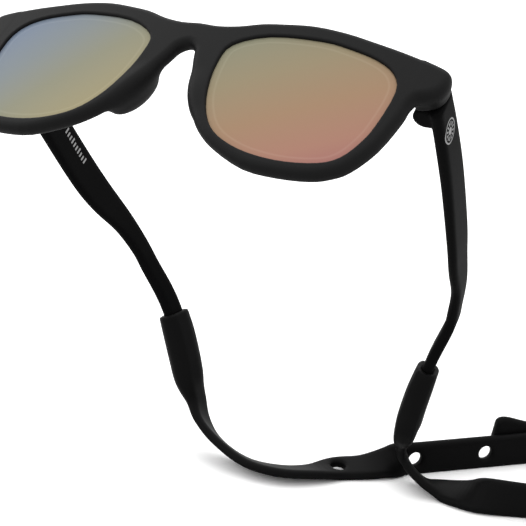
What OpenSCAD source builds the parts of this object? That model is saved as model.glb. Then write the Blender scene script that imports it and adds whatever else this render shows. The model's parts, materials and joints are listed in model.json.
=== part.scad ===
// Child's flexible sunglasses with an adjustable head strap, standing on the strap with the arms pointing down.
// The spectacles are drawn in their own frame first: +X to the wearer's left, +Y backwards along the arms, +Z up
// the lens, with its origin between the lenses on the front face. stand() then tips them back onto the strap.
// Millimetres. The finished part has +Z up, the floor at z = 0 and its origin below the middle of its box.

/* [Front] */
// Width of each lens opening
lens_w = 43; // [41:0.5:44]
// Height of each lens opening
lens_h = 37; // [35:0.5:38]
// Depth of the rims, front to back
front_t = 4; // [3.8:0.1:5]
// Radius of the front face, seen from above
base_r = 300; // [200:10:600]
// Thickness of the lenses
lens_t = 1.8; // [1.4:0.1:2]

/* [Arms] */
// Length of an arm behind the end piece
arm_l = 122; // [118:1:126]
// How far the tip of the left arm is sprung outwards by the strap
left_spring = 3.5; // [2:0.5:5]
// Diameter of the hinge pins
pin_d = 1.6; // [1.2:0.1:2]
// Running clearance round each hinge pin
pin_gap = 0.05; // [0.02:0.01:0.08]

/* [Strap] */
// Width of the strap bands
strap_w = 10; // [9:0.5:11]
// Thickness of the strap bands
strap_t = 2.2; // [1.8:0.1:2.6]
// Diameter of the adjusting holes
hole_d = 5; // [4:0.1:5.4]
// Distance between neighbouring adjusting holes
hole_pitch = 23.5; // [20:0.5:24]
// Radius of the loop where the strap turns back
loop_r = 25.3; // [24:0.1:26]

/* [Stand] */
// How far the spectacles are tipped back from upright
tip_back = 54; // [53:0.5:55]
// Height of the lens centres above the floor
lens_height = 134; // [133:0.5:135]

/* [Hidden] */

// From the middle of the footprint to the point below the lens centres
footprint = [-27.85, -63.05, 0];

// Front frame
opening_x = 31.55;         // middle of an opening
opening_z = -3.65;
rebate = 1.2;              // how far a lens reaches into its groove
lens_gap = 0.05;
lens_inset = 0.8;          // from the front face back to the lens
block_back = 12;           // back of the end pieces
block_x = 55.6;            // inner side of the end pieces
block_low = 6.2;

// Hinge, as seen from above on the wearer's left
hinge = [57.2, 15];
knuckle_r = 2.6;
hinge_low = 7;
hinge_top = 14.6;
tongue_low = 9.5;
tongue_top = 12.3;
hinge_gap = 0.1;
web = 2.6;                 // thickness of the webs that carry the knuckles
web_in = 1;                // from the hinge's axis inwards to a web of the tongue
pin_low = hinge_low + 0.8;
pin_top = hinge_top - 0.5;
pin_short = 0.2;           // the pins stop this far below the top of their bore

// Strap closure: holes 2 to 4 lie on one straight line along the floor
closure_heading = 44.1;
along = [cos(closure_heading), sin(closure_heading)];
towards_front = [sin(closure_heading), -cos(closure_heading)];
hole_2 = [33.6, 94.2];
band_end = 7;              // from the middle of hole 4 to the end of the holed band
stud_gap = 0.1;

outline_steps = 3;
sweep_steps = 5;
$fn = 64;

// ---- curves ----

// A point on the smooth curve through b and c, with a and d as its neighbours
function between(a, b, c, d, t) =
    0.5 * (2 * b + (c - a) * t + (2 * a - 5 * b + 4 * c - d) * t * t + (3 * b - a - 3 * c + d) * t * t * t);

// A smooth closed curve through the points
function closed_curve(p, steps) =
    let (n = len(p))
    [for (i = [0 : n - 1], k = [0 : steps - 1])
        between(p[(i + n - 1) % n], p[i], p[(i + 1) % n], p[(i + 2) % n], k / steps)];

// A smooth open curve through the points
function open_curve(p, steps) =
    let (n = len(p))
    concat([for (i = [0 : n - 2], k = [0 : steps - 1])
        between(p[max(i - 1, 0)], p[i], p[i + 1], p[min(i + 2, n - 1)], k / steps)], [p[n - 1]]);

function unit(v) = v / norm(v);

// A rounded rectangle of 12 points, width along its first axis
function rounded_section(w, t) =
    let (r = 0.42 * t)
    [for (q = [[1, 1, 0], [-1, 1, 90], [-1, -1, 180], [1, -1, 270]], a = [0, 45, 90])
        [q[0] * (w / 2 - r) + r * cos(q[2] + a), q[1] * (t / 2 - r) + r * sin(q[2] + a)]];

// A station is [x, y, z, width direction x, y, z, width, thickness]
function place_of(s) = [s[0], s[1], s[2]];
function width_dir_of(s) = [s[3], s[4], s[5]];

// The corners of every section along a list of stations
function section_rings(stations) =
    let (n = len(stations))
    [for (i = [0 : n - 1])
        let (ahead = unit(place_of(stations[min(i + 1, n - 1)]) - place_of(stations[max(i - 1, 0)])),
             raw = width_dir_of(stations[i]),
             wide = unit(raw - ahead * (raw * ahead)),
             thick = cross(ahead, wide))
        for (c = rounded_section(stations[i][6], stations[i][7]))
            place_of(stations[i]) + c[0] * wide + c[1] * thick];

// A solid bar that follows a list of stations
module bar(stations) {
    ring = 12;
    last = len(stations) - 1;
    sides = [for (i = [0 : last - 1], k = [0 : ring - 1])
        let (a = i * ring + k, b = i * ring + (k + 1) % ring)
        each [[a, a + ring, b], [b, a + ring, b + ring]]];
    polyhedron(
        points = section_rings(stations),
        faces = concat(sides, [[for (k = [0 : ring - 1]) k], [for (k = [ring - 1 : -1 : 0]) last * ring + k]]),
        convexity = 6);
}

// ---- placing ----

module lifted() {
    translate([0, 0, lens_height]) rotate([-tip_back, 0, 0]) children();
}

module stand() {
    translate(footprint) lifted() children();
}

// The same point and direction as lifted() gives, for stations worked out in the spectacles' frame
function stood_dir(v) =
    [v[0], v[1] * cos(tip_back) + v[2] * sin(tip_back), v[2] * cos(tip_back) - v[1] * sin(tip_back)];
function stood(p) = stood_dir(p) + [0, 0, lens_height];

// ---- front frame ----

// The opening of the wearer's left lens, as shares of its half width and half height
opening_shape = [[0, 1], [0.32, 0.97], [0.65, 0.89], [0.88, 0.74], [0.99, 0.46], [0.96, -0.12], [0.895, -0.44],
                 [0.78, -0.72], [0.6, -0.88], [0.28, -0.98], [-0.05, -0.99], [-0.345, -0.92], [-0.61, -0.76],
                 [-0.795, -0.5], [-0.935, -0.13], [-1, 0.36], [-0.945, 0.68], [-0.58, 0.92]];

// The opening's outline, moved outwards by grow
function opening(grow) =
    closed_curve([for (p = opening_shape)
        let (edge = [p[0] * lens_w / 2, p[1] * lens_h / 2])
        [opening_x, opening_z] + edge + grow * unit(edge)], outline_steps);

// Half of the front's outline, from the middle of the brow round the end piece and the rim to the nose arch
half_outline = [[0, 14.4], [5, 14.2], [10.3, 15.1], [15.5, 16.9], [20.5, 17.9], [28, 19], [36, 18.8], [43, 17.9],
                [50.3, 16.9], [57.5, 15.6], [61.1, 14.5], [62, 12.7], [61.9, 10.3], [61, 8.2], [59.2, 6.7],
                [57.2, 5.2], [56.2, 2.2], [55.9, -1.5], [53.9, -10.7], [50.5, -17.9], [47.3, -21.1], [43.2, -23.2],
                [36, -24.5], [28, -24.3], [19.5, -20.7], [14.5, -17], [11.4, -13.3], [9.1, -9.6], [6.7, -4.5],
                [3.8, 3.1], [2.5, 6.6], [0, 8.2]];

function whole_outline() =
    let (n = len(half_outline))
    closed_curve(concat(half_outline, [for (i = [n - 2 : -1 : 1]) [-half_outline[i][0], half_outline[i][1]]]),
                 outline_steps);

// A flat shape in the x-z plane, pushed through from y0 to y1
module pushed(points, y0, y1) {
    translate([0, y1, 0]) rotate([90, 0, 0]) linear_extrude(height = y1 - y0) polygon(points);
}

// The space between two depths behind the curved front face
module behind_face(depth_0, depth_1) {
    reach = 40;
    translate([0, base_r, -reach]) difference() {
        cylinder(r = base_r - depth_0, h = 2 * reach, $fn = 360);
        translate([0, 0, -1]) cylinder(r = base_r - depth_1, h = 2 * reach + 2, $fn = 360);
    }
}

module both_sides() {
    children();
    mirror([1, 0, 0]) children();
}

// A lens-shaped slice between two depths
module lens_slice(grow, depth_0, depth_1) {
    intersection() {
        pushed(opening(grow), -1, 20);
        behind_face(depth_0, depth_1);
    }
}

// Everything outside block_x and above block_low, as far back as block_back
module end_piece() {
    beyond = 20;
    intersection() {
        pushed(whole_outline(), -1, block_back);
        translate([block_x, 0, block_low]) cube(beyond);
        behind_face(0, beyond);
    }
}

module hinge_tongue() {
    high = tongue_top - tongue_low;
    overlap = 1;
    translate([hinge[0], hinge[1], tongue_low]) cylinder(r = knuckle_r - hinge_gap, h = high);
    translate([hinge[0] - web_in, block_back - overlap, tongue_low])
        cube([web, hinge[1] - block_back + overlap, high]);
}

// Rounded pad moulded onto the back of the rim, beside the nose: long down the rim, thin across it and deep
module nose_pad() {
    half_long = 7.4;
    half_thin = 2.6;
    half_deep = 5;
    end_r = 2.2;
    centre = [9.6, 5.5, -6.1];
    lean = 17;                 // of its back, away from the nose
    down = 65;                 // from level to the way it runs down the rim
    translate(centre) rotate([lean, down, 0]) hull() {
        for (way = [-1, 1]) {
            translate([way * (half_long - end_r), 0, 0]) sphere(r = end_r, $fn = 24);
            translate([0, way * (half_deep - half_thin), 0]) sphere(r = half_thin, $fn = 24);
        }
    }
}

module pin_bore(d) {
    translate([hinge[0], hinge[1], pin_low]) cylinder(d = d, h = pin_top - pin_low);
}

module front_frame() {
    color("#26272a") stand() difference() {
        union() {
            intersection() {
                pushed(whole_outline(), -1, 20);
                behind_face(0, front_t);
            }
            both_sides() {
                end_piece();
                hinge_tongue();
                nose_pad();
            }
        }
        both_sides() {
            pushed(opening(0), -2, 30);
            lens_slice(rebate + lens_gap, lens_inset - lens_gap, lens_inset + lens_t + lens_gap);
            pin_bore(pin_d);
        }
    }
}

module left_lens() {
    lens_slice(rebate, lens_inset, lens_inset + lens_t);
}

module lens_left() {
    color("#c9b48a") stand() left_lens();
}

module lens_right() {
    color("#9fb0ad") stand() mirror([1, 0, 0]) left_lens();
}

// ---- arms ----

// An arm's keys: distance behind the end piece, sideways place, height, depth of section, thickness
arm_keys = [[0.3, 60.4, 10.5, 8.8, 2.8], [12, 59.9, 11.2, 9.5, 2.8], [28, 58.9, 11.9, 10.2, 2.6],
            [50, 56.8, 12.6, 10.5, 2.3], [62, 55.1, 13.4, 9.7, 2.3], [75, 53, 15.2, 7.4, 2.5],
            [85, 50.6, 14.9, 6.4, 2.7], [92, 48.6, 13.5, 6.2, 2.9], [106, 42.1, 7.9, 6.4, 3],
            [arm_l, 34, -5.3, 5.9, 2.8]];

// The sleeve begins this far along an arm, and the bend of a sprung tip a little before it
sleeve_from = 107;
spring_from = 100;
right_spring = 0.6;

// A key as a station in the spectacles' frame; spring moves the tip outwards, and side is -1 on the right
function arm_station(key, side, spring) =
    let (bend = max(0, (key[0] - spring_from) / (arm_l - spring_from)))
    [side * (key[1] + spring * bend * bend), block_back + key[0], key[2], 0, 0, 1, key[3], key[4]];

function arm_stations(side, spring) = open_curve([for (k = arm_keys) arm_station(k, side, spring)], sweep_steps);

module hinge_slice(r, z0, z1) {
    translate([hinge[0], hinge[1], z0]) cylinder(r = r, h = z1 - z0);
}

// One knuckle of the fork and the web that joins it to the arm
module fork_knuckle(z0, z1) {
    hinge_slice(knuckle_r, z0, z1);
    ahead = 2.2;
    behind = 2.6;
    translate([hinge[0], hinge[1] - ahead, z0]) cube([web, ahead + behind, z1 - z0]);
}

module left_arm(spring) {
    difference() {
        union() {
            bar(arm_stations(1, spring));
            fork_knuckle(hinge_low, tongue_low - hinge_gap);
            fork_knuckle(tongue_top + hinge_gap, hinge_top);
        }
        hinge_slice(knuckle_r + 2 * hinge_gap, tongue_low - hinge_gap, tongue_top + hinge_gap);
        pin_bore(pin_d + 2 * pin_gap);
    }
}

module arm_left() {
    color("#222326") stand() left_arm(left_spring);
}

module arm_right() {
    color("#222326") stand() mirror([1, 0, 0]) left_arm(right_spring);
}

module left_pin() {
    translate([hinge[0], hinge[1], pin_low]) cylinder(d = pin_d, h = pin_top - pin_low - pin_short);
}

module hinge_pin_left() {
    color("silver") stand() left_pin();
}

module hinge_pin_right() {
    color("silver") stand() mirror([1, 0, 0]) left_pin();
}

// ---- strap ----

// Distance along the arm, width and thickness of a sleeve, which follows the end of its arm
sleeve_sizes = [[sleeve_from, 9.4, 5.9], [sleeve_from + 4, 9.9, 6.6], [sleeve_from + 9, 9.9, 6.6], [arm_l, 9.4, 5.8]];

function arm_at(distance) =
    let (i = max([for (k = [0 : len(arm_keys) - 2]) if (arm_keys[k][0] <= distance) k]),
         n = len(arm_keys) - 1,
         t = (distance - arm_keys[i][0]) / (arm_keys[i + 1][0] - arm_keys[i][0]))
    between(arm_keys[max(i - 1, 0)], arm_keys[i], arm_keys[i + 1], arm_keys[min(i + 2, n)], t);

function sleeve_keys(side, spring) =
    [for (s = sleeve_sizes)
        let (a = arm_station(arm_at(s[0]), side, spring))
        concat(stood(place_of(a)), stood_dir([0, 0, 1]), [s[1], s[2]])];

// A key of a band that touches the floor: lean is 0 for a band that lies flat and 90 for one on its edge
function on_floor(p, heading, lean) =
    [p[0], p[1], strap_w / 2 * sin(lean) + strap_t / 2 * cos(lean),
     -sin(heading) * cos(lean), cos(heading) * cos(lean), sin(lean), strap_w, strap_t];

// A point of the closure, counted in holes; behind is its distance behind the middle of the holed band
function closure_point(holes, behind) = hole_2 + (holes - 2) * hole_pitch * along - behind * towards_front;

// Hole 1 lies where the band is nearly flat on the floor, leaning a little
hole_1 = [14.2, 81];
hole_1_heading = 36;
hole_1_lean = 9;
right_keys = concat(
    sleeve_keys(-1, right_spring),
    [[-32.4, 75.1, 16.2, -0.1, 0.85, 0.25, 7.8, 3.4],
     [-28.9, 73.1, 10.7, -0.25, 0.87, -0.15, 9.2, strap_t],
     [-22.2, 70.6, 6.1, -0.35, 0.83, -0.4, strap_w, strap_t],
     [-10.8, 68, 3, -0.39, 0.84, -0.37, strap_w, strap_t],
     [0.5, 68.5, 2.6, -0.4, 0.87, -0.29, strap_w, strap_t],
     [8.6, 74.2, 2.1, -0.49, 0.85, -0.19, strap_w, strap_t]],
    [on_floor(hole_1, hole_1_heading, hole_1_lean), on_floor([20.6, 85.4], 38, 13),
     on_floor([26.4, 89.3], 42, 32),
     on_floor(closure_point(1.83, 0), closure_heading, 84),
     on_floor(hole_2, closure_heading, 90), on_floor(closure_point(3, 0), closure_heading, 90),
     on_floor(closure_point(4, 0), closure_heading, 90),
     on_floor(closure_point(4, 0) + band_end * along, closure_heading, 90)]);

// The loop runs round this centre from loop_in to loop_out
loop_in = 20;
loop_out = 180 + closure_heading;
loop_steps = 7;
loop_start = [100, 95];
loop_centre = loop_start + loop_r * [-sin(loop_in), cos(loop_in)];
function loop_key(heading) = on_floor(loop_centre + loop_r * [sin(heading), -cos(heading)], heading, 90);

// The free end of the left band is lifted by rise
function tab_key(holes, rise, width) =
    let (p = closure_point(holes, strap_t + stud_gap))
    [p[0], p[1], strap_w / 2 + rise, 0, 0, 1, width, strap_t];

left_keys = concat(
    sleeve_keys(1, left_spring),
    [[34.7, 80.8, 17.5, -0.15, 0.85, 0.25, 7.8, 3.4],
     [33.3, 83.8, 12.4, -0.3, 0.87, -0.25, 9.2, strap_t],
     [33.7, 84.9, 8.7, -0.3, 0.87, -0.43, strap_w, strap_t],
     [36.3, 84.4, 5.7, -0.3, 0.87, -0.41, strap_w, strap_t],
     [41.3, 83.8, 3, -0.3, 0.88, -0.34, strap_w, strap_t],
     [47.3, 84.6, 1.9, -0.1, 0.99, 0.09, strap_w, strap_t]],
    [on_floor([54.1, 82.8], -2, 26),
     on_floor([61.7, 81.4], 8, 68), on_floor([71.9, 84.5], 18, 86), on_floor([86, 89.9], loop_in, 90)],
    [for (i = [0 : loop_steps]) loop_key(loop_in + i * (loop_out - loop_in) / loop_steps)],
    [tab_key(4.3, 0, strap_w), tab_key(4, 0.5, strap_w), tab_key(3.6, 2.8, strap_w), tab_key(3.26, 5.2, strap_w),
     tab_key(3.17, 5.7, 7.6)]);

// The pocket takes the end of an arm with a little room all round
module pocket(side, spring) {
    grip_gap = 0.05;
    end_gap = 0.3;
    ahead = 6;
    beyond = [for (s = arm_stations(side, spring)) if (s[1] > block_back + sleeve_from - ahead)
        concat(place_of(s), width_dir_of(s), [s[6] + 2 * grip_gap, s[7] + 2 * grip_gap])];
    n = len(beyond);
    onwards = end_gap * unit(place_of(beyond[n - 1]) - place_of(beyond[n - 2]));
    lifted() bar(concat(beyond, [beyond[n - 1] + concat(onwards, [0, 0, 0, 0, 0])]));
}

// A round cutter square through a band that stands on the floor with this heading and lean
module hole_through(p, heading, lean) {
    key = on_floor(p, heading, lean);
    translate(place_of(key)) rotate([lean, 0, heading]) cylinder(d = hole_d, h = 3 * strap_t, center = true);
}

module strap_right() {
    color("#2a2b2e") translate(footprint) difference() {
        bar(open_curve(right_keys, sweep_steps));
        pocket(-1, right_spring);
        hole_through(hole_1, hole_1_heading, hole_1_lean);
        for (k = [2 : 4])
            hole_through(closure_point(k, 0), closure_heading, 90);
    }
}

// The stud stands on the left band, passes through hole 4 and ends in a flat head
module stud() {
    post_d = hole_d - 0.3;
    head_d = hole_d + 2.4;
    head_t = 1.3;
    head_at = 1.5 * strap_t + 2 * stud_gap;
    translate(concat(closure_point(4, strap_t + stud_gap), [strap_w / 2])) rotate([90, 0, closure_heading]) {
        cylinder(d = post_d, h = head_at + head_t);
        translate([0, 0, head_at]) cylinder(d = head_d, h = head_t);
    }
}

module strap_left() {
    color("#2a2b2e") translate(footprint) {
        difference() {
            bar(open_curve(left_keys, sweep_steps));
            pocket(1, left_spring);
        }
        stud();
    }
}

front_frame();
lens_right();
lens_left();
arm_right();
arm_left();
hinge_pin_right();
hinge_pin_left();
strap_right();
strap_left();
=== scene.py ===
"""Looks of the child's sunglasses with a head strap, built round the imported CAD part.

The spectacles are worked out in their own frame, in millimetres: x to the wearer's left, y backwards
along the arms and z up the lenses, from a point between the lenses on the front face. The hinges' axis
says how they are tipped.
"""

import json
import math

import bmesh
import bpy
import numpy as np
from mathutils import Matrix, Vector
from mathutils.bvhtree import BVHTree


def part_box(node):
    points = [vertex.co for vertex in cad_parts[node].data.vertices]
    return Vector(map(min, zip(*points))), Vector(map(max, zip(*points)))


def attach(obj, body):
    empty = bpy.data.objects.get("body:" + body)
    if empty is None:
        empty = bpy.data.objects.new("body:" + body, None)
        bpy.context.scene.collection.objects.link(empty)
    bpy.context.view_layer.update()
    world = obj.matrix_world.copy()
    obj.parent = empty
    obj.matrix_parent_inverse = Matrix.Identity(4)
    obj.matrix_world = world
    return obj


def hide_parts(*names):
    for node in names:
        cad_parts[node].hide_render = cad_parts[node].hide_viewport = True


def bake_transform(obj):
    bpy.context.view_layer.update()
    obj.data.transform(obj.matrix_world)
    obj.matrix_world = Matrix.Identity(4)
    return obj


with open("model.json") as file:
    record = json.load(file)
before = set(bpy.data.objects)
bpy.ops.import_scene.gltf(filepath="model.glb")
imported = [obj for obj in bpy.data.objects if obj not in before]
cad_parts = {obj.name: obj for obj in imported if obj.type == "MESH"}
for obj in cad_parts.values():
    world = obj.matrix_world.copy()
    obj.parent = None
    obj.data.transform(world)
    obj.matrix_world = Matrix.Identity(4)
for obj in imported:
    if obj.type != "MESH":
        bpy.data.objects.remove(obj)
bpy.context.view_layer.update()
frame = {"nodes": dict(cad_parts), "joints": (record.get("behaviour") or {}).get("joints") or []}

MM = 0.001

# Places in the spectacles' frame, as in the CAD part
HINGE_BACK = 15.0
HINGE_UP = 10.9
FACE_RADIUS = 300.0      # of the front face, seen from above
FRONT_THICK = 4.0
BLOCK_BACK = 12.0        # back of the end pieces
BLOCK_IN = 55.6          # inner side of the end pieces
BLOCK_LOW = 6.2
TONGUE_HIGH = 2.8        # of the hinge tongues, along the pin
TONGUE_RADIUS = 2.5
WEB = 2.6                # thickness of the web that carries a tongue
WEB_IN = 1.0             # from the hinge's axis inwards to that web
WEB_SUNK = 1.0           # how far the web starts inside the end piece
LENS_INSET = 0.8
LENS_THICK = 1.8
LENS_CENTRE = (31.55, -3.65)

# Rounding and blending of the moulded front
EDGE_ROUND = 1.9
SKIN = 0.6               # the visible front stands this far outside the CAD outline, for its round edges
OPENING_ROUND = 0.5      # edge of a lens opening
BLOCK_ROUND = 0.7        # back edge of the end pieces
BLOCK_BLEND = 1.4        # between the end pieces and the rims

# The nose pads, on the wearer's left
PAD_CENTRE = (9.6, 5.5, -6.1)
PAD_HALF = (7.4, 2.6, 5.0)      # half sizes: down the rim, across it and in depth
PAD_DOWN = math.radians(65)     # from the x axis to the way it runs down the rim
PAD_LEAN = math.radians(17)     # how far its back leans away from the nose
PAD_BLEND = 2.6
PAD_CLEAR = 0.3          # from a lens opening to the moulding of a nose pad

# Grid of the front, and fineness of the arms and the strap
FRONT_STEP = 0.22
SOFT_STEP = 0.2

# Smoothing of the arms and the strap, and the distance they are then moved outwards
ARM_PASSES, ARM_PUFF = 8, 0.16
STRAP_PASSES, STRAP_PUFF = 22, 0.26
SHADING_PASSES = 60      # for the normals alone, which hides the facets of the bands

# The lenses' mesh: rings of points, as shares of the opening, the first of them hidden in the groove
LENS_RINGS = (1.05, 1.02, 1, 0.99, 0.98, 0.97, 0.96, 0.95, 0.94, 0.92, 0.9, 0.85, 0.75, 0.6, 0.4, 0.2)
HIDDEN_RINGS = 2
GROOVE_PLAY = 0.05       # the hidden rings lie this far behind the rest

# A paler line runs round each lens; its places are shares of EDGE_REACH, counted from the rim
EDGE_REACH = 5.0
EDGE_LINE = ((0.26, 0.0), (0.34, 1.0), (0.42, 0.0))
EDGE_PALER = (0.026, 0.026, 0.022, 1)

# Colours of the two coatings as they should look, from one side of a lens to the other: each coating's own
# colour with a painted reflection that changes across the lens
COOL_STOPS = [(0.0, (0.24, 0.29, 0.38)), (0.35, (0.28, 0.31, 0.32)), (0.65, (0.33, 0.325, 0.245)),
              (1.0, (0.41, 0.36, 0.225))]
WARM_STOPS = [(0.0, (0.31, 0.31, 0.23)), (0.3, (0.366, 0.309, 0.21)), (0.6, (0.42, 0.285, 0.193)),
              (0.85, (0.456, 0.26, 0.202)), (1.0, (0.44, 0.22, 0.2))]
COOL_WAY = (0.78, -0.62)
WARM_WAY = (0.6, -0.8)

# What the studio light adds to a lens's colour, and how much it multiplies it
LENS_GLARE = 0.04
LENS_GAIN = 1.35

# The prints on the arms: where the rays that lay them on start, and how far they stand off
BADGE_FROM = 80.0        # outside the left arm
TICKS_FROM = -40.0       # between the arms
PRINT_LIFT = 0.06

# Studio: greys as the camera sees them and as they light the object, and one broad soft light
FLOOR_SEEN, FLOOR_BOUNCED = 1.1, 0.6
FLOOR_SIZE = 8
KEY_ANGLE = math.radians(115)
KEY_STRENGTH = 1.7
KEY_WAY = (0.38, 0.05, -0.92)

# Camera: where it stands, from the point between the lenses, and how it is turned
CAMERA_FROM_LENSES = (0.1689, -0.2905, 0.0557)
AZIMUTH = math.radians(26.26)
ELEVATION = math.radians(17.13)
TILT = math.radians(2.75)
FOCAL, SENSOR = 99.03, 36


def joint(name):
    """The joint of that name, as the record has it."""
    return next(j for j in frame["joints"] if j["name"] == name)


UP = Vector(joint("left_hinge")["axis"]).normalized()
LEFT = Vector((1, 0, 0))
BACK = UP.cross(LEFT)
front_low, front_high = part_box("front_frame")
MIDDLE = (front_low.x + front_high.x) / 2
HINGE_OUT = joint("left_hinge")["pos_m"][0] / MM - MIDDLE / MM
ORIGIN = (Vector(joint("left_hinge")["pos_m"])
          - MM * (HINGE_OUT * LEFT + HINGE_BACK * BACK + HINGE_UP * UP))
AXES = np.array([LEFT, BACK, UP])


def to_row(points):
    """Points of the spectacles' frame, in mm, as points of the row's frame, in metres."""
    return np.array(ORIGIN) + MM * np.asarray(points, float) @ AXES


def to_spectacles(points):
    """Points of the row's frame, in metres, as points of the spectacles' frame, in mm."""
    return (np.asarray(points, float) - np.array(ORIGIN)) @ AXES.T / MM


def face_y(x):
    """How far back the front face lies at x."""
    return FACE_RADIUS - np.sqrt(FACE_RADIUS**2 - np.asarray(x, float) ** 2)


# ---- meshes ----

def new_piece(name, points, faces, smooth=True):
    """A mesh object with its points in the row's frame."""
    mesh = bpy.data.meshes.new(name)
    mesh.from_pydata([tuple(p) for p in points], [], [tuple(f) for f in faces])
    mesh.update()
    for polygon in mesh.polygons:
        polygon.use_smooth = smooth
    piece = bpy.data.objects.new(name, mesh)
    bpy.context.scene.collection.objects.link(piece)
    return piece


def face_outlines():
    """The closed loops round the front face of the CAD front, longest first, as arrays of x and z in mm."""
    touch = 0.02
    weld = 0.002
    facing = 0.5
    mesh = bmesh.new()
    mesh.from_mesh(frame["nodes"]["front_frame"].data)
    bmesh.ops.remove_doubles(mesh, verts=mesh.verts, dist=weld * MM)
    mesh.verts.ensure_lookup_table()
    place = to_spectacles([v.co for v in mesh.verts])
    on_face = np.abs(place[:, 1] - face_y(place[:, 0])) < touch
    flat = {f for f in mesh.faces
            if all(on_face[v.index] for v in f.verts) and -Vector(f.normal).dot(BACK) > facing}
    beside = {}
    for edge in mesh.edges:
        if sum(f in flat for f in edge.link_faces) == 1:
            a, b = (v.index for v in edge.verts)
            beside.setdefault(a, []).append(b)
            beside.setdefault(b, []).append(a)
    loops = []
    while beside:
        loop = [next(iter(beside))]
        while loop[-1] in beside:
            onward = [v for v in beside.pop(loop[-1]) if v in beside]
            if not onward:
                break
            loop.append(onward[0])
        loops.append(place[loop][:, [0, 2]])
    mesh.free()
    return sorted(loops, key=lambda loop: -np.ptp(loop[:, 0]))


def distance_from(loops, x, z):
    """Distance from the loops in the x-z plane, negative in the material between them."""
    best = np.full(x.shape, np.inf)
    inside = np.zeros(x.shape, bool)
    for loop in loops:
        for (ax, az), (bx, bz) in zip(loop, np.roll(loop, -1, axis=0)):
            dx, dz = bx - ax, bz - az
            share = np.clip(((x - ax) * dx + (z - az) * dz) / max(dx * dx + dz * dz, 1e-12), 0, 1)
            best = np.minimum(best, np.hypot(x - ax - share * dx, z - az - share * dz))
            if az != bz:
                inside ^= ((az > z) != (bz > z)) & (x < ax + (z - az) * dx / dz)
    return np.where(inside, -best, best)


def within(value, low, high):
    """Distance from the layer between two values, negative inside it."""
    return np.abs(value - (low + high) / 2) - (high - low) / 2


def rounded(across, along, radius):
    """The solid inside both distances, with the edge between them rounded."""
    a, b = across + radius, along + radius
    return np.minimum(np.maximum(a, b), 0) + np.hypot(np.maximum(a, 0), np.maximum(b, 0)) - radius


def joined(a, b, blend):
    """Two solids as one, with a fillet of about that size between them."""
    h = np.clip(0.5 + 0.5 * (b - a) / blend, 0, 1)
    return b + (a - b) * h - blend * h * (1 - h)


def joined_cut(a, b, blend):
    """Only what lies in both solids, with a fillet of about that size."""
    return -joined(-a, -b, blend)


def ellipsoid(offset, ways, halves):
    """Roughly the distance from an ellipsoid, given the offset from its centre as three arrays."""
    local = [sum(w * o for w, o in zip(way, offset)) for way in ways]
    near = np.sqrt(sum((c / h) ** 2 for c, h in zip(local, halves)))
    steep = np.sqrt(sum((c / h**2) ** 2 for c, h in zip(local, halves)))
    return near * (near - 1) / np.maximum(steep, 1e-6)


def surface_of(field, low, step):
    """Corner points and quads on the zero level of a field sampled on an even grid."""
    inside = field < 0
    shape = np.array(field.shape) - 1
    count = np.zeros(shape, int)
    for i, j, k in np.ndindex(2, 2, 2):
        count += inside[i:i + shape[0], j:j + shape[1], k:k + shape[2]]
    mixed = (count > 0) & (count < 8)
    cells = np.argwhere(mixed)
    number = np.full(shape, -1)
    number[mixed] = np.arange(len(cells))
    total = np.zeros((len(cells), 3))
    hits = np.zeros(len(cells))
    for axis in range(3):
        unit = np.eye(3, dtype=int)[axis]
        for i, j in np.ndindex(2, 2):
            corner = np.insert([i, j], axis, 0)
            a = field[tuple((cells + corner).T)]
            b = field[tuple((cells + corner + unit).T)]
            crossed = (a < 0) != (b < 0)
            share = np.where(crossed, a / np.where(crossed, a - b, 1), 0)
            total += np.where(crossed[:, None], corner + share[:, None] * unit, 0)
            hits += crossed
    points = np.array(low) + step * (cells + total / hits[:, None])
    quads = []
    for axis in range(3):
        u, v = (axis + 1) % 3, (axis + 2) % 3
        head = [slice(1, -1)] * 3
        tail = [slice(1, -1)] * 3
        head[axis], tail[axis] = slice(0, -1), slice(1, None)
        ends = inside[tuple(head)], inside[tuple(tail)]
        for outward, wanted in ((True, ends[0] & ~ends[1]), (False, ~ends[0] & ends[1])):
            at = np.argwhere(wanted)
            at[:, u] += 1
            at[:, v] += 1
            around = []
            for du, dv in ((-1, -1), (0, -1), (0, 0), (-1, 0)):
                cell = at.copy()
                cell[:, u] += du
                cell[:, v] += dv
                around.append(number[tuple(cell.T)])
            quad = np.stack(around, axis=1)
            quads.append(quad if outward else quad[:, ::-1])
    return points, np.concatenate(quads)


# ---- materials ----

def node_material(name):
    """An empty node material, its node tree and its Principled shader."""
    material = bpy.data.materials.new(name)
    material.use_nodes = True
    tree = material.node_tree
    return material, tree, tree.nodes["Principled BSDF"]


def grained(name, colour, roughness, specular, grain, depth):
    """A matte material with a fine grain: grain is its scale per metre, depth how far it stands out."""
    uneven = 0.05
    material, tree, shader = node_material(name)
    shader.inputs["Base Color"].default_value = (*colour, 1)
    shader.inputs["Specular IOR Level"].default_value = specular
    place = tree.nodes.new("ShaderNodeTexCoord")
    noise = tree.nodes.new("ShaderNodeTexNoise")
    noise.inputs["Scale"].default_value = grain
    noise.inputs["Detail"].default_value = 2
    bump = tree.nodes.new("ShaderNodeBump")
    bump.inputs["Strength"].default_value = 0.35
    bump.inputs["Distance"].default_value = depth
    spread = tree.nodes.new("ShaderNodeMapRange")
    spread.inputs["To Min"].default_value = roughness - uneven
    spread.inputs["To Max"].default_value = roughness + uneven
    tree.links.new(place.outputs["Object"], noise.inputs["Vector"])
    tree.links.new(noise.outputs["Fac"], bump.inputs["Height"])
    tree.links.new(noise.outputs["Fac"], spread.inputs["Value"])
    tree.links.new(spread.outputs["Result"], shader.inputs["Roughness"])
    tree.links.new(bump.outputs["Normal"], shader.inputs["Normal"])
    return material


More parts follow.
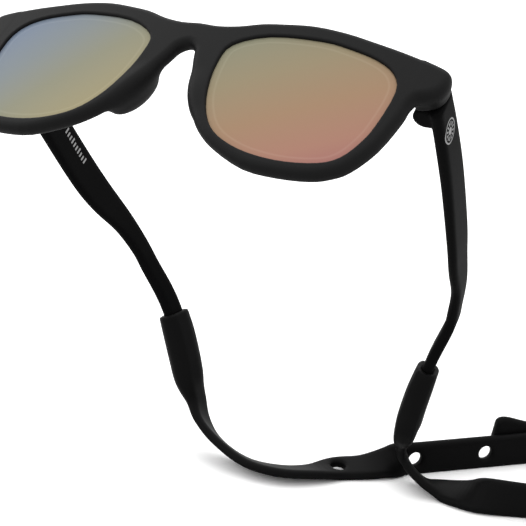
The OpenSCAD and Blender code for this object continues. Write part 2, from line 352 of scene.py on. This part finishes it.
def colour_ramp(tree, stops):
    """A colour ramp with these stops, each a position and a colour."""
    ramp = tree.nodes.new("ShaderNodeValToRGB")
    elements = ramp.color_ramp.elements
    elements[0].position, elements[-1].position = stops[0][0], stops[-1][0]
    elements[0].color, elements[-1].color = (*stops[0][1], 1), (*stops[-1][1], 1)
    for position, colour in stops[1:-1]:
        elements.new(position).color = (*colour, 1)
    return ramp


def mirrored(name, stops):
    """A mirror coating whose colour follows stops along the piece's gradient attribute, a painted
    reflection, with a paler line by its EDGE.
    """
    material, tree, shader = node_material(name)
    shader.inputs["Roughness"].default_value = 0.32
    shader.inputs["Metallic"].default_value = 0.12
    shader.inputs["Specular IOR Level"].default_value = 0.05
    reflection_along = tree.nodes.new("ShaderNodeAttribute")
    reflection_along.attribute_name = "TINT"
    base = [(at, [max(c - LENS_GLARE, 0) / LENS_GAIN for c in colour]) for at, colour in stops]
    ramp = colour_ramp(tree, base)
    edge = tree.nodes.new("ShaderNodeAttribute")
    edge.attribute_name = "EDGE"
    line = colour_ramp(tree, [(at, [value] * 3) for at, value in ((0, 0), *EDGE_LINE, (1, 0))])
    pale = tree.nodes.new("ShaderNodeMixRGB")
    pale.blend_type = "ADD"
    pale.inputs["Color2"].default_value = EDGE_PALER
    tree.links.new(reflection_along.outputs["Fac"], ramp.inputs["Fac"])
    tree.links.new(edge.outputs["Fac"], line.inputs["Fac"])
    tree.links.new(line.outputs["Color"], pale.inputs["Fac"])
    tree.links.new(ramp.outputs["Color"], pale.inputs["Color1"])
    tree.links.new(pale.outputs["Color"], shader.inputs["Base Color"])
    return material


def brushed_steel():
    """Steel with a fine drawn grain."""
    material, tree, shader = node_material("brushed_steel")
    shader.inputs["Base Color"].default_value = (0.6, 0.6, 0.62, 1)
    shader.inputs["Metallic"].default_value = 1
    noise = tree.nodes.new("ShaderNodeTexNoise")
    noise.inputs["Scale"].default_value = 3000
    spread = tree.nodes.new("ShaderNodeMapRange")
    spread.inputs["To Min"].default_value = 0.25
    spread.inputs["To Max"].default_value = 0.4
    tree.links.new(noise.outputs["Fac"], spread.inputs["Value"])
    tree.links.new(spread.outputs["Result"], shader.inputs["Roughness"])
    return material


FRAME_BLACK = grained("frame_black", (0.006, 0.006, 0.0061),
                      roughness=0.5, specular=0.09, grain=9000, depth=0.00003)
# The arms' black is the frame's black made darker and less glossy: painted shade for the arms, whose faces
# turn away from the light
ARM_SHADED_BLACK = grained("arm_black", (0.003, 0.003, 0.0031),
                    roughness=0.5, specular=0.02, grain=9000, depth=0.00003)
STRAP_BLACK = grained("strap_black", (0.0035, 0.0035, 0.0036),
                      roughness=0.45, specular=0.05, grain=7000, depth=0.00002)
PRINT_GREY = grained("print_grey", (0.34, 0.34, 0.34),
                     roughness=0.6, specular=0.1, grain=9000, depth=0.00001)


def paint(piece, material):
    """The piece wears this material alone."""
    piece.data.materials.clear()
    piece.data.materials.append(material)


# ---- pieces ----

def nose_pad(side, y, z):
    """Distance from the pads beside the nose; side is the distance from the middle."""
    down = np.array([math.cos(PAD_DOWN), 0, -math.sin(PAD_DOWN)])
    across = np.array([math.sin(PAD_DOWN), 0, math.cos(PAD_DOWN)])
    back = np.array([0, 1, 0])
    ways = (down, math.cos(PAD_LEAN) * across - math.sin(PAD_LEAN) * back,
            math.cos(PAD_LEAN) * back + math.sin(PAD_LEAN) * across)
    offset = [c - m for c, m in zip((side, y, z), PAD_CENTRE)]
    return ellipsoid(offset, ways, PAD_HALF)


def end_pieces(outside, side, y, z):
    """Distance from the blocks behind the outer ends of the brow."""
    block = joined_cut(np.maximum(outside + BLOCK_BLEND / 4, BLOCK_IN - side), BLOCK_LOW - z, BLOCK_BLEND)
    return rounded(block, within(y, face_y(side) + EDGE_ROUND / 2, BLOCK_BACK), BLOCK_ROUND)


def hinge_tongues(side, y, z):
    """Distance from the tongues that the arms' forks hold."""
    eye = np.hypot(side - HINGE_OUT, y - HINGE_BACK) - TONGUE_RADIUS
    web_from = HINGE_OUT - WEB_IN
    neck = np.maximum(within(side, web_from, web_from + WEB), within(y, BLOCK_BACK - WEB_SUNK, HINGE_BACK))
    return np.maximum(np.minimum(eye, neck), np.abs(z - HINGE_UP) - TONGUE_HIGH / 2)


def front_piece(loops):
    """The moulded front: rims, bridge, end pieces, nose pads and hinge tongues in one skin."""
    margin = 4 * FRONT_STEP
    behind = HINGE_BACK + TONGUE_RADIUS
    low = [loops[0][:, 0].min() - margin, -margin, loops[0][:, 1].min() - margin]
    high = [loops[0][:, 0].max() + margin, behind + margin, loops[0][:, 1].max() + margin]
    x, y, z = (np.arange(a, b, FRONT_STEP) for a, b in zip(low, high))
    flat_x, flat_z = np.meshgrid(x, z, indexing="ij")
    outside = distance_from(loops[:1], flat_x, flat_z)[:, None, :] - SKIN
    opening = distance_from(loops[1:], flat_x, flat_z)[:, None, :]
    x, y, z = x[:, None, None], y[None, :, None], z[None, None, :]
    side = np.abs(x)
    depth = within(y, face_y(x), face_y(x) + FRONT_THICK)
    rims = np.maximum(rounded(outside, depth, EDGE_ROUND), rounded(-opening, depth, OPENING_ROUND))
    pads = joined_cut(nose_pad(side, y, z), PAD_CLEAR - opening, PAD_BLEND)
    solid = joined(joined(rims, end_pieces(outside, side, y, z), BLOCK_BLEND), pads, PAD_BLEND)
    points, quads = surface_of(np.minimum(solid, hinge_tongues(side, y, z)), low, FRONT_STEP)
    piece = new_piece("front", to_row(points), quads)
    paint(piece, FRAME_BLACK)
    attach(piece, "front")
    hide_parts("front_frame")
    return piece


def lens_piece(name, node, loop, material, towards):
    """A thin curved lens with a painted reflection on its coating's colour that changes along towards, an
    x-z direction.
    """
    centre = np.array([math.copysign(LENS_CENTRE[0], loop[:, 0].mean()), LENS_CENTRE[1]])
    angle = np.arctan2(loop[:, 1] - centre[1], loop[:, 0] - centre[0])
    loop = loop[np.argsort(angle)]
    n = len(loop)
    flat = np.concatenate([centre + share * (loop - centre) for share in LENS_RINGS] + [centre[None, :]])
    hidden = np.arange(len(flat)) < HIDDEN_RINGS * n
    depth = face_y(flat[:, 0]) + LENS_INSET + np.where(hidden, GROOVE_PLAY, 0)
    front = np.column_stack([flat[:, 0], depth, flat[:, 1]])
    back = front + np.array([0, LENS_THICK, 0])
    middle = len(flat) - 1
    last = middle - n
    onward = [(i + 1) % n for i in range(n)]
    faces = [(k + i, k + j, k + n + j, k + n + i) for k in range(0, last, n) for i, j in enumerate(onward)]
    faces += [(last + i, last + j, middle) for i, j in enumerate(onward)]
    over = len(flat)
    faces += [tuple(over + v for v in reversed(f)) for f in faces]
    faces += [(i, over + i, over + j, j) for i, j in enumerate(onward)]
    piece = new_piece(name, to_row(np.concatenate([front, back])), faces)
    # Where each point lies along towards, from 0 to 1: its place in the painted reflection's gradient
    reach = flat @ (np.array(towards) / np.hypot(*towards))
    reflection_along = (reach - reach.min()) / np.ptp(reach)
    from_rim = np.clip(-distance_from([loop], flat[:, 0], flat[:, 1]) / EDGE_REACH, 0, 1)
    for title, values in (("TINT", reflection_along), ("EDGE", from_rim)):
        attribute = piece.data.attributes.new(title, "FLOAT", "POINT")
        attribute.data.foreach_set("value", np.concatenate([values, values]).astype(np.float32))
    paint(piece, material)
    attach(piece, "front")
    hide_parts(node)
    return piece


def eased(piece, passes):
    """A smoothing modifier on the piece."""
    ease = piece.modifiers.new("ease", "SMOOTH")
    ease.factor = 0.5
    ease.iterations = passes


def apply_modifiers(piece):
    """The piece's mesh as its modifiers make it."""
    bpy.context.view_layer.update()
    ready = piece.evaluated_get(bpy.context.evaluated_depsgraph_get())
    mesh = bpy.data.meshes.new_from_object(ready)
    piece.modifiers.clear()
    return mesh


def soft_copy(name, node, step, passes, puff):
    """A CAD node's shape as one even skin with its edges eased, then moved puff mm outwards."""
    piece = bpy.data.objects.new(name, frame["nodes"][node].data.copy())
    bpy.context.scene.collection.objects.link(piece)
    skin = piece.modifiers.new("skin", "REMESH")
    skin.mode = "VOXEL"
    skin.voxel_size = step * MM
    eased(piece, passes)
    swell = piece.modifiers.new("swell", "DISPLACE")
    swell.strength = puff * MM
    swell.mid_level = 0
    piece.data = apply_modifiers(piece)
    eased(piece, SHADING_PASSES)
    softer = apply_modifiers(piece)
    piece.data.normals_split_custom_set_from_vertices([v.normal for v in softer.vertices])
    bpy.data.meshes.remove(softer)
    return piece


def arm_piece(side):
    """One arm."""
    piece = soft_copy("temple_" + side, "arm_" + side, SOFT_STEP, ARM_PASSES, ARM_PUFF)
    paint(piece, ARM_SHADED_BLACK)
    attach(piece, side + "_arm")
    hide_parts("arm_" + side)
    return piece


def strap_piece(side):
    """One half of the strap, which runs between the tip of its arm and the place that stays still; its shape
    is baked where it lies and follows no body.
    """
    piece = soft_copy("band_" + side, "strap_" + side, SOFT_STEP, STRAP_PASSES, STRAP_PUFF)
    paint(piece, STRAP_BLACK)
    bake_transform(piece)
    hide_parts("strap_" + side)
    return piece


def laid_on(piece_below, shapes, name, body, from_x):
    """Thin flat shapes, given as y-z outlines in mm, laid on the face of an arm that is seen from from_x."""
    tree = BVHTree.FromObject(piece_below, bpy.context.evaluated_depsgraph_get())
    points, faces = [], []
    for shape in shapes:
        faces.append(range(len(points), len(points) + len(shape)))
        for y, z in shape:
            begin = Vector(to_row([(from_x, y, z)])[0])
            hit = tree.ray_cast(begin, -LEFT)[0]
            points.append(hit + PRINT_LIFT * MM * LEFT)
    piece = new_piece(name, points, faces, smooth=False)
    paint(piece, PRINT_GREY)
    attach(piece, body)
    return piece


def ring(centre, radii, band, start, stop, count):
    """Quads that follow part of an oval ring; band holds its inner and outer shares of the radii."""
    inner, outer = band

    def spot(angle, share):
        ahead, up = share * radii[0] * math.cos(angle), share * radii[1] * math.sin(angle)
        return centre[0] + ahead, centre[1] + up

    step = (stop - start) / count
    starts = [start + step * i for i in range(count)]
    return [[spot(a, outer), spot(a + step, outer), spot(a + step, inner), spot(a, inner)] for a in starts]


def badge(arm):
    """A plain sun badge: an oval ring round a disc with short rays."""
    centre = (21.0, 10.0)
    radii = (3.4, 3.0)
    turn = 2 * math.pi
    rays = 12
    half_ray = 0.12
    rim, disc, ray = (0.88, 1.0), (0.0, 0.3), (0.42, 0.74)
    shapes = ring(centre, radii, rim, 0, turn, 48)
    shapes += ring(centre, radii, disc, 0, turn, 24)
    for i in range(rays):
        middle = turn * i / rays
        shapes += ring(centre, radii, ray, middle - half_ray, middle + half_ray, 2)
    return laid_on(arm, shapes, "sun_badge", "left_arm", BADGE_FROM)


def tick_print(arm):
    """A row of plain ticks on the inner side of the arm, every third one longer."""
    count = 10
    start, pitch = 47.6, 1.35
    wide, low = 0.6, 13.2
    short, long = 1.5, 1.9
    shapes = []
    for i in range(count):
        y = start + i * pitch
        top = low + (short if i % 3 else long)
        shapes.append([(y, low), (y + wide, low), (y + wide, top), (y, top)])
    return laid_on(arm, shapes, "tick_print", "right_arm", TICKS_FROM)


def build():
    """Every piece of the object."""
    loops = face_outlines()
    front_piece(loops)
    left_loop = next(loop for loop in loops[1:] if loop[:, 0].mean() > 0)
    right_loop = next(loop for loop in loops[1:] if loop[:, 0].mean() < 0)
    cool = mirrored("mirror_cool", COOL_STOPS)
    warm = mirrored("mirror_warm", WARM_STOPS)
    lens_piece("lens_cool", "lens_right", right_loop, cool, COOL_WAY)
    lens_piece("lens_warm", "lens_left", left_loop, warm, WARM_WAY)
    badge(arm_piece("left"))
    tick_print(arm_piece("right"))
    strap_piece("left")
    strap_piece("right")
    steel = brushed_steel()
    for node in ("hinge_pin_left", "hinge_pin_right"):
        paint(frame["nodes"][node], steel)


# ---- stage ----

def seen_or_bounced(tree, seen, bounced):
    """A grey that is lighter where the camera sees it than in the light that it throws back."""
    path = tree.nodes.new("ShaderNodeLightPath")
    mix = tree.nodes.new("ShaderNodeMixRGB")
    mix.inputs["Color1"].default_value = (bounced, bounced, bounced, 1)
    mix.inputs["Color2"].default_value = (seen, seen, seen, 1)
    tree.links.new(path.outputs["Is Camera Ray"], mix.inputs["Fac"])
    return mix.outputs["Color"]


def floor_and_light():
    """A white floor and backdrop with one broad soft light from above."""
    bpy.ops.mesh.primitive_plane_add(size=FLOOR_SIZE, location=(0, 0, 0))
    floor = bpy.context.object
    floor.name = "floor"
    material, tree, shader = node_material("floor_white")
    tree.links.new(seen_or_bounced(tree, FLOOR_SEEN, FLOOR_BOUNCED), shader.inputs["Base Color"])
    shader.inputs["Roughness"].default_value = 0.9
    shader.inputs["Specular IOR Level"].default_value = 0
    paint(floor, material)
    world = bpy.data.worlds.new("studio")
    world.use_nodes = True
    world.node_tree.nodes["Background"].inputs["Color"].default_value = (1, 1, 1, 1)
    bpy.context.scene.world = world
    light = bpy.data.lights.new("key", "SUN")
    light.angle = KEY_ANGLE
    light.energy = KEY_STRENGTH
    holder = bpy.data.objects.new("key", light)
    holder.rotation_euler = Vector(KEY_WAY).to_track_quat("-Z", "Y").to_euler()
    bpy.context.scene.collection.objects.link(holder)


def camera():
    """The camera stands in front of the spectacles and a little above, on the wearer's left."""
    level = math.cos(ELEVATION)
    back = Vector((math.sin(AZIMUTH) * level, -math.cos(AZIMUTH) * level, math.sin(ELEVATION)))
    data = bpy.data.cameras.new("camera")
    data.sensor_width = SENSOR
    data.lens = FOCAL
    data.clip_start, data.clip_end = 0.01, 20
    holder = bpy.data.objects.new("camera", data)
    turn = (-back).to_track_quat("-Z", "Y").to_matrix() @ Matrix.Rotation(TILT, 3, "Z")
    holder.matrix_world = Matrix.Translation(ORIGIN + Vector(CAMERA_FROM_LENSES)) @ turn.to_4x4()
    bpy.context.scene.collection.objects.link(holder)
    bpy.context.scene.camera = holder


build()
floor_and_light()
camera()
bpy.context.scene.view_settings.view_transform = "Standard"
